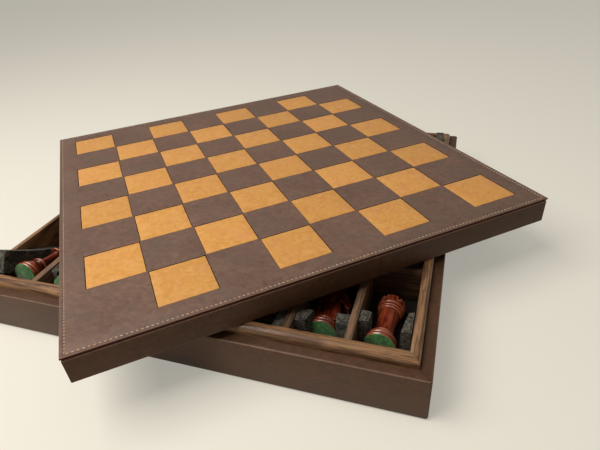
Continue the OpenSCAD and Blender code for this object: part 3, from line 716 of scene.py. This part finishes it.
# the last two colours are the hollows, darkened as painted shade with pooled stain, and the ring
# tops, paled as painted highlight with polish
RED_WOOD = turned_wood(
    "red_stained_boxwood", ("#380f06", "#661f0f", "#984428", "#250a04", "#c4714d"), 0.26)
BOXWOOD = turned_wood(
    "oiled_boxwood", ("#b98a4c", "#d3a566", "#e4bd84", "#85602f", "#ecca94"), 0.32)
FOAM = open_cell_foam()
FELT = wool_felt()
BLACK_FLOCK = flock("black_flock", ("#0d0a08", "#231d18"))
BROWN_FLOCK = flock("brown_flock", ("#1c1511", "#352a22"))


# ------------------------------------------------------------------ board


def face_and_edge(obj, face, edge, flatness):
    """Dresses what faces up in one material, and the cut edges and the back in another."""
    obj.data.materials.append(face)
    obj.data.materials.append(edge)
    for polygon in obj.data.polygons:
        polygon.material_index = 0 if polygon.normal.z >= flatness else 1


def leather_sheet():
    """The brown sheet of the playing side, with a window for each inlaid square and a stitched
    channel round its edge. Its cut edges stay dark."""
    half = BOARD_SIDE / 2
    channel = half - STITCH_INSET
    bpy.ops.mesh.primitive_plane_add(size=BOARD_SIDE)
    sheet = new_object("playing_sheet")
    lines = [(i - 4) * SQUARE + side * WINDOW_MARGIN for i in range(9) for side in (-1, 1)][1:-1]
    lines += [side * (channel + step * CHANNEL_HALF) for side in (-1, 1) for step in (-1, 0, 1)]
    edit(sheet)
    for line in lines:
        for axis in (Vector((1, 0, 0)), Vector((0, 1, 0))):
            bpy.ops.mesh.select_all(action="SELECT")
            bpy.ops.mesh.bisect(plane_co=line * axis, plane_no=axis)

    def is_window(corners):
        middle = sum(corners, Vector()) / len(corners)
        column, row = middle.x / SQUARE + 4, middle.y / SQUARE + 4
        margin = WINDOW_MARGIN / SQUARE
        inside = all(margin < value % 1 < 1 - margin and 0 < value < 8 for value in (column, row))
        return inside and (int(column) + int(row)) % 2 == 1

    pick(sheet, "FACE", is_window)
    bpy.ops.mesh.delete(type="FACE")
    pick(sheet, "VERT", lambda corners: near(reach(corners[0]), channel))
    bpy.ops.transform.translate(value=(0, 0, -CHANNEL_DEEP))
    leave()
    thicken(sheet, SHEET_T)
    edit(sheet)
    pick(sheet, "EDGE",
         lambda corners: all(near(co.z, 0) and near(reach(co), half) for co in corners))
    bpy.ops.mesh.bevel(offset=SHEET_ROUND, segments=3, affect="EDGES")
    leave()
    ease_edges(sheet, 0.12 * MM, 2, 60)
    face_and_edge(sheet, BOARD_LEATHER, DARK_EDGE, 0.6)
    on_board(sheet, BOARD_TOP)
    finish_piece(sheet, [], "board", ["board_leather"])


def inlaid_squares():
    """One tan square, domed a little by the glue and with its edges rolled over, laid 32 times."""
    half = SQUARE / 2 - TILE_MARGIN
    bpy.ops.mesh.primitive_plane_add(size=2 * half)
    square = new_object("tan_square")
    edit(square)
    bpy.ops.mesh.subdivide(number_cuts=5)
    for share, drop in ((1, 0.16 * MM), (2 / 3, 0.04 * MM)):
        pick(square, "VERT", lambda corners: near(reach(corners[0]), half * share))
        bpy.ops.transform.translate(value=(0, 0, -drop))
    leave()
    thicken(square, SHEET_T - 0.2 * MM)
    edit(square)
    pick(square, "EDGE", lambda corners: all(
        co.z > -0.3 * MM and near(reach(co), half, 0.1 * MM) for co in corners))
    bpy.ops.mesh.bevel(offset=TILE_ROUND, segments=3, affect="EDGES")
    leave()
    face_and_edge(square, TAN_LEATHER, TAN_EDGE, 0.3)
    places = [(((i - 3.5) * SQUARE, (j - 3.5) * SQUARE, 0), 0)
              for i in range(8) for j in range(8) if (i + j) % 2 == 1]
    squares = repeat(square, "tan_squares", places)
    on_board(squares, BOARD_TOP)
    finish_piece(squares, [], "board", ["light_squares"])


def saddle_stitching():
    """One short stitch, sunk in the channel and leaning a little, repeated along four sides."""
    line = BOARD_SIDE / 2 - STITCH_INSET
    pitch = 2 * line / STITCH_COUNT
    bpy.ops.mesh.primitive_uv_sphere_add(segments=8, ring_count=5, radius=MM,
                                         rotation=(0, math.pi / 2, 0))
    stitch = new_object("stitch")
    apply_place()
    edit(stitch)
    bpy.ops.transform.resize(value=STITCH_HALF, center_override=(0, 0, 0))
    bpy.ops.transform.rotate(value=STITCH_LEAN, orient_axis="Z", center_override=(0, 0, 0))
    # its two ends go down into their holes
    pick(stitch, "VERT", lambda corners: abs(corners[0].x) > 0.8 * MM)
    bpy.ops.transform.translate(value=(0, 0, -0.14 * MM))
    leave()
    stitch.location = (pitch / 2 - line, -line, 0)
    activate(stitch)
    apply_place()
    row = stitch.modifiers.new("row", "ARRAY")
    row.count = STITCH_COUNT
    row.use_relative_offset = False
    row.use_constant_offset = True
    row.constant_offset_displace = (pitch, 0, 0)
    apply_modifiers(stitch)
    sides = [((0, 0, 0), side * math.pi / 2) for side in range(4)]
    rows = repeat(stitch, "edge_stitching", sides)
    on_board(rows, BOARD_TOP - STITCH_SUNK)
    finish_piece(rows, [THREAD], "board", smooth=60)


def fold(half, height, radius, start, end, steps=5):
    """Half widths and heights of leather folding over an edge, from one angle to another."""
    steepest = math.radians(max(start, end, key=abs))
    middle_half = half - radius
    middle_height = height - math.copysign(radius, math.sin(steepest))
    angles = [math.radians(start + (end - start) * step / steps) for step in range(steps + 1)]
    return [(middle_half + radius * math.cos(angle), middle_height + radius * math.sin(angle))
            for angle in angles]


def wrapped_leather(name, loops, corner):
    """Leather drawn round a square frame. loops gives the half width and the height of each turn
    of the leather, from one edge of the hide to the other."""
    widest = max(half for half, height in loops)
    inmost = min(half for half, height in loops)
    half, height = loops[0]
    bpy.ops.mesh.primitive_plane_add(size=2 * widest, location=(0, 0, height))
    wrap = new_object(name)
    activate(wrap)
    apply_place()
    edit(wrap)
    bpy.ops.mesh.bevel(offset=corner, segments=6, affect="VERTICES")
    bpy.ops.mesh.select_all(action="SELECT")
    bpy.ops.mesh.delete(type="ONLY_FACE")
    bpy.ops.mesh.select_mode(type="EDGE")
    bpy.ops.mesh.select_all(action="SELECT")
    start = half / widest
    bpy.ops.transform.resize(value=(start, start, 1), center_override=(0, 0, 0))
    for next_half, next_height in loops[1:]:
        rise = (0, 0, next_height - height)
        wider = next_half / half
        bpy.ops.mesh.extrude_edges_move(TRANSFORM_OT_translate={"value": rise})
        bpy.ops.transform.resize(value=(wider, wider, 1), center_override=(0, 0, 0))
        half, height = next_half, next_height
    leave()
    # the hide's inner edges are cut square to the woodwork
    for vertex in wrap.data.vertices:
        if near(reach(vertex.co), inmost, 0.05 * MM) or reach(vertex.co) < inmost:
            if min(abs(vertex.co.x), abs(vertex.co.y)) > inmost - 1.2 * corner:
                vertex.co.x = math.copysign(inmost, vertex.co.x)
                vertex.co.y = math.copysign(inmost, vertex.co.y)
    edit(wrap)
    bpy.ops.mesh.remove_doubles(threshold=0.01 * MM)
    bpy.ops.mesh.normals_make_consistent(inside=False)
    leave()
    thicken(wrap, LEATHER_T)
    ease_edges(wrap, 0.3 * MM, 3, 60)
    return wrap


def rim_skirt():
    """Leather over the board's rim, rolled at its upper edge and folded in under the rim."""
    half = BOARD_SIDE / 2 - SHEET_OVERHANG
    loops = fold(half, SKIRT_TOP, SKIRT_FOLD_TOP, 90, 0)
    loops += fold(half, 0, SKIRT_FOLD_BASE, 0, -90) + [(BOARD_SIDE / 2 - SKIRT_T, 0)]
    skirt = wrapped_leather("rim_skirt", loops, SKIRT_CORNER)
    on_board(skirt, BOARD_BASE)
    finish_piece(skirt, [RIM_LEATHER], "board", ["rim_leather"], smooth=40)


def tray_skin():
    """Leather over the tray's wall, folded in over the rim and under the foot."""
    loops = [(LIP_HALF + LIP_GAP, RIM_TOP)] + fold(TRAY_HALF, RIM_TOP, TRAY_FOLD, 90, 0)
    loops += fold(TRAY_HALF, FOOT_TOP, TRAY_FOLD, 0, -90) + [(LIP_HALF + LIP_GAP, FOOT_TOP)]
    skin = wrapped_leather("tray_skin", loops, TRAY_CORNER)
    finish_piece(skin, [TRAY_LEATHER], "tray", ["wall_leather"], smooth=40)


# ------------------------------------------------------------------ woodwork of the tray


def joinery(node, material, width):
    """A board of the tray with its edges eased by sanding."""
    piece = copy_of(node, "eased_" + node)
    whole_faces(piece)
    ease_edges(piece, width)
    finish_piece(piece, [material], "tray", [node])


def woodwork():
    """The lip's four boards, and the dividers and cross walls halved over each other."""
    for side, material in (("front", LIP_WOOD_X), ("back", LIP_WOOD_X),
                           ("left", LIP_WOOD_Y), ("right", LIP_WOOD_Y)):
        joinery("lip_" + side, material, LIP_EASED)
    for number in range(1, 8):
        joinery("divider_%d" % number, DIVIDER_WOOD, DIVIDER_EASED)
    for row in ("front", "middle", "back"):
        joinery("cross_wall_" + row, CROSS_WOOD, DIVIDER_EASED)


# ------------------------------------------------------------------ foam


def surface_of(node):
    """A CAD node's surface, to find points on."""
    mesh = NODES[node].data
    return BVHTree.FromPolygons([vertex.co.copy() for vertex in mesh.vertices],
                                [tuple(face.vertices) for face in mesh.polygons])


def foam_block(name, place, surfaces=(), from_left=True, cuts=5):
    """A strip of foam. place turns a point of the unit cube into its place in the tray. The
    strip's faces are uneven, as foam cut with a knife is, and it gives way to the chessmen whose
    surfaces press on it from the side away from its wall."""
    bpy.ops.mesh.primitive_cube_add(size=1)
    strip = new_object(name)
    edit(strip)
    bpy.ops.mesh.subdivide(number_cuts=cuts)
    leave()
    centre = place(Vector((0.5, 0.5, 0.5)))
    for vertex in strip.data.vertices:
        unit = vertex.co + Vector((0.5, 0.5, 0.5))
        spot = place(unit)
        wander = noise.noise_vector(spot * marks(9.1 * MM)) * FOAM_UNEVEN * MM
        edge = min(min(value, 1 - value) for value in (unit.y, unit.z))
        hollow = FOAM_UNEVEN * MM * (1 - min(1, 4 * edge))
        inward = (centre - spot).normalized() * hollow
        vertex.co = spot + wander + inward
    ease_edges(strip, 0.5 * MM, 2, 40)
    smoother = strip.modifiers.new("soft", "SUBSURF")
    smoother.levels = smoother.render_levels = 1
    apply_modifiers(strip)
    away = 1 if from_left else -1
    wall = min(away * vertex.co.x for vertex in strip.data.vertices) * away
    for vertex in strip.data.vertices:
        for surface in surfaces:
            start = Vector((wall - away * MM, vertex.co.y, vertex.co.z))
            touch = surface.ray_cast(start, Vector((away, 0, 0)), CELL_WIDTH)[0]
            if touch is not None and away * (touch.x - vertex.co.x) < FOAM_CLEAR:
                # the foam packs closer towards its wall
                depth = max(0, away * (vertex.co.x - wall))
                share = depth / max(0.1 * MM, away * (touch.x - wall))
                vertex.co.x = wall + (touch.x - away * FOAM_CLEAR - wall) * min(1, share)
    return finish_piece(strip, [FOAM], "tray", smooth=60)


def box_strip(low, high):
    """Shape of an upright strip between two corners."""
    def place(unit):
        return low + Vector([(high[k] - low[k]) * unit[k] for k in range(3)])
    return place


def cut_strip(low, high, left, right, front, back):
    """Shape of a strip cut short, in millimetres: its left and right sides at the front and at
    the back end, and where those ends are."""
    def place(unit):
        x0 = left[0] + (left[1] - left[0]) * unit.y
        x1 = right[0] + (right[1] - right[0]) * unit.y
        y0 = front[0] + (front[1] - front[0]) * unit.x
        y1 = back[0] + (back[1] - back[0]) * unit.x
        return Vector(((x0 + (x1 - x0) * unit.x) * MM, (y0 + (y1 - y0) * unit.y) * MM,
                       low.z + (high.z - low.z) * unit.z))
    return place


def sprung_strip(low, high, sign):
    """A strip that has sprung up out of its cell, sagging a little along its length."""
    def place(unit):
        run = unit.y * SPRUNG_LENGTH
        sag = SPRUNG_SAG * math.sin(math.pi * unit.y)
        rise = unit.z * SPRUNG_HEIGHT - sag
        y = run * math.cos(SPRUNG_TILT) + rise * math.sin(SPRUNG_TILT)
        z = (SPRUNG_LENGTH - run) * math.sin(SPRUNG_TILT) + rise * math.cos(SPRUNG_TILT)
        start = low.y if sign > 0 else high.y
        return Vector((low.x + (high.x - low.x) * unit.x, start + sign * y, low.z + z))
    return place


def arched_strip(low, high):
    """A strip that has fallen flat and bows up between its neighbours."""
    rise = high.z - low.z - ARCH_THICK

    def place(unit):
        across = 2 * unit.x - 1
        base = rise * (1 - across * across)
        top = ARCH_THICK * unit.z * (1 - 0.25 * across * across)
        return Vector((low.x + (high.x - low.x) * unit.x, low.y + (high.y - low.y) * unit.y,
                       low.z + base + top))
    return place


def islands(node):
    """Boxes of the separate solids in one CAD node, from left to right and front to back."""
    copy = copy_of(node, "pieces_of_" + node)
    mesh = bmesh.new()
    mesh.from_mesh(copy.data)
    seen, boxes = set(), []
    for start in mesh.verts:
        if start in seen:
            continue
        front, group = [start], []
        seen.add(start)
        while front:
            vertex = front.pop()
            group.append(vertex.co.copy())
            for link in vertex.link_edges:
                other = link.other_vert(vertex)
                if other not in seen:
                    seen.add(other)
                    front.append(other)
        boxes.append((Vector([min(co[k] for co in group) for k in range(3)]),
                      Vector([max(co[k] for co in group) for k in range(3)])))
    mesh.free()
    bpy.data.objects.remove(copy)
    return sorted(boxes, key=lambda box: (box[0].x + box[1].x, box[0].y))


def foam_strips():
    """Foam beside every chessman. The strips in the open cells of the front row are short ones
    that lean and squeeze against the feet."""
    # by cell and side, in millimetres: left and right at the front and back end, then the front
    # end and the back end at the left and right
    short = {
        (1, 0): ((-135.6, -135.6), (-127.4, -129.0), (-159.0, -161.0), (-146.5, -147.5)),
        (6, 0): ((95.4, 95.4), (104.2, 107.6), (-165.0, -163.4), (-152.6, -151.0)),
        (6, 1): ((126.4, 124.4), (135.6, 135.6), (-160.6, -161.6), (-150.3, -149.5)),
        (7, 0): ((141.7, 141.7), (149.4, 150.4), (-154.8, -153.2), (-142.4, -143.0)),
        (7, 1): ((172.9, 176.2), (180.9, 180.6), (-158.8, -158.2), (-138.0, -136.0)),
    }
    pressing = [surface_of(node) for node in ("red_knight_1", "red_knight_2", "red_rook_2",
                                              "rook_felt", "red_felts")]
    for node in ("foam_red_pieces", "foam_red_pawns", "foam_boxwood_pawns", "foam_boxwood_pieces"):
        front_row = node == "foam_red_pieces"
        for number, (low, high) in enumerate(islands(node)):
            cell = divmod(number, 2)
            cut = short.get(cell) if front_row else None
            if high.z - low.z > TALLEST_UPRIGHT:
                shape = sprung_strip(low, high, 1 if front_row else -1)
            elif high.z - low.z < LOWEST_UPRIGHT:
                shape = arched_strip(low, high)
            elif cut:
                shape = cut_strip(low, high, *cut)
            else:
                shape = box_strip(low, high)
            strip = foam_block("%s_%02d" % (node, number + 1), shape, pressing if cut else (),
                               cell[1] == 0, 10 if cut else 5)
            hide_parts(node)


# ------------------------------------------------------------------ chessmen


def turned_piece(node, body, material):
    """A turned chessman, its facets smoothed to the lathe's curves."""
    piece = copy_of(node, "turned_" + node)
    finish_piece(piece, [material], body, [node], smooth=38)


def knight_piece(node, material):
    """A knight: the carved head is rounded off by sanding, and the turned foot keeps its rings."""
    low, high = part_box(node)
    turned = surface_of(node)
    knight = copy_of(node, "carved_" + node)
    remesh = knight.modifiers.new("carving", "REMESH")
    remesh.mode = "VOXEL"
    remesh.voxel_size = CARVING_VOXEL
    smooth = knight.modifiers.new("sanding", "SMOOTH")
    smooth.factor = 0.5
    smooth.iterations = 3
    apply_modifiers(knight)
    red = node.startswith("red")
    for vertex in knight.data.vertices:
        from_foot = vertex.co.y - low.y if red else high.y - vertex.co.y
        if from_foot < KNIGHT_FOOT:
            vertex.co = turned.find_nearest(vertex.co)[0]
    finish_piece(knight, [material], "tray", [node], smooth=50)


def chessmen():
    """Both sides, and the felt under their feet."""
    bodies = {"red_rook_2": "rook", "red_bishop_1": "bishop",
              "rook_felt": "rook", "bishop_felt": "bishop"}
    for colour, material, slot in (("red", RED_WOOD, "red_wood"), ("boxwood", BOXWOOD, "boxwood")):
        for kind in ("bishop_1", "rook_1", "king", "queen", "bishop_2", "rook_2", "pawns"):
            node = "%s_%s" % (colour, kind)
            turned_piece(node, bodies.get(node, "tray"), material)
        for kind in ("knight_1", "knight_2"):
            knight_piece("%s_%s" % (colour, kind), material)
    for node in ("red_felts", "boxwood_felts", "bishop_felt", "rook_felt"):
        pad = copy_of(node, "glued_" + node)
        whole_faces(pad)
        ease_edges(pad, 0.2 * MM, 2, 50)
        finish_piece(pad, [FELT], bodies.get(node, "tray"), [node], smooth=40)


# ------------------------------------------------------------------ parts that keep their shape


def plain_parts():
    """Boards and linings whose shape is right in the frame take their finish only."""
    finishes = {
        "foot_cloth": BROWN_FLOCK, "bottom_board": RAW_BOARD, "floor_lining": BLACK_FLOCK,
        # the walls and the board's panel show only at the bottom of narrow gaps, and are darkened
        # there as painted shade
        "wall_front": DARK_PANEL, "wall_back": DARK_PANEL,
        "wall_left": DARK_PANEL, "wall_right": DARK_PANEL,
        "board_panel": DARK_PANEL, "board_lining": BROWN_FLOCK,
        "rim_front": RAW_BOARD, "rim_back": RAW_BOARD,
        "rim_left": RAW_BOARD_Y, "rim_right": RAW_BOARD_Y,
    }
    for node, material in finishes.items():
        NODES[node].data.materials.clear()
        NODES[node].data.materials.append(material)


viewpoint()
studio()
pale_floor()
plain_parts()
leather_sheet()
inlaid_squares()
saddle_stitching()
rim_skirt()
tray_skin()
woodwork()
foam_strips()
chessmen()
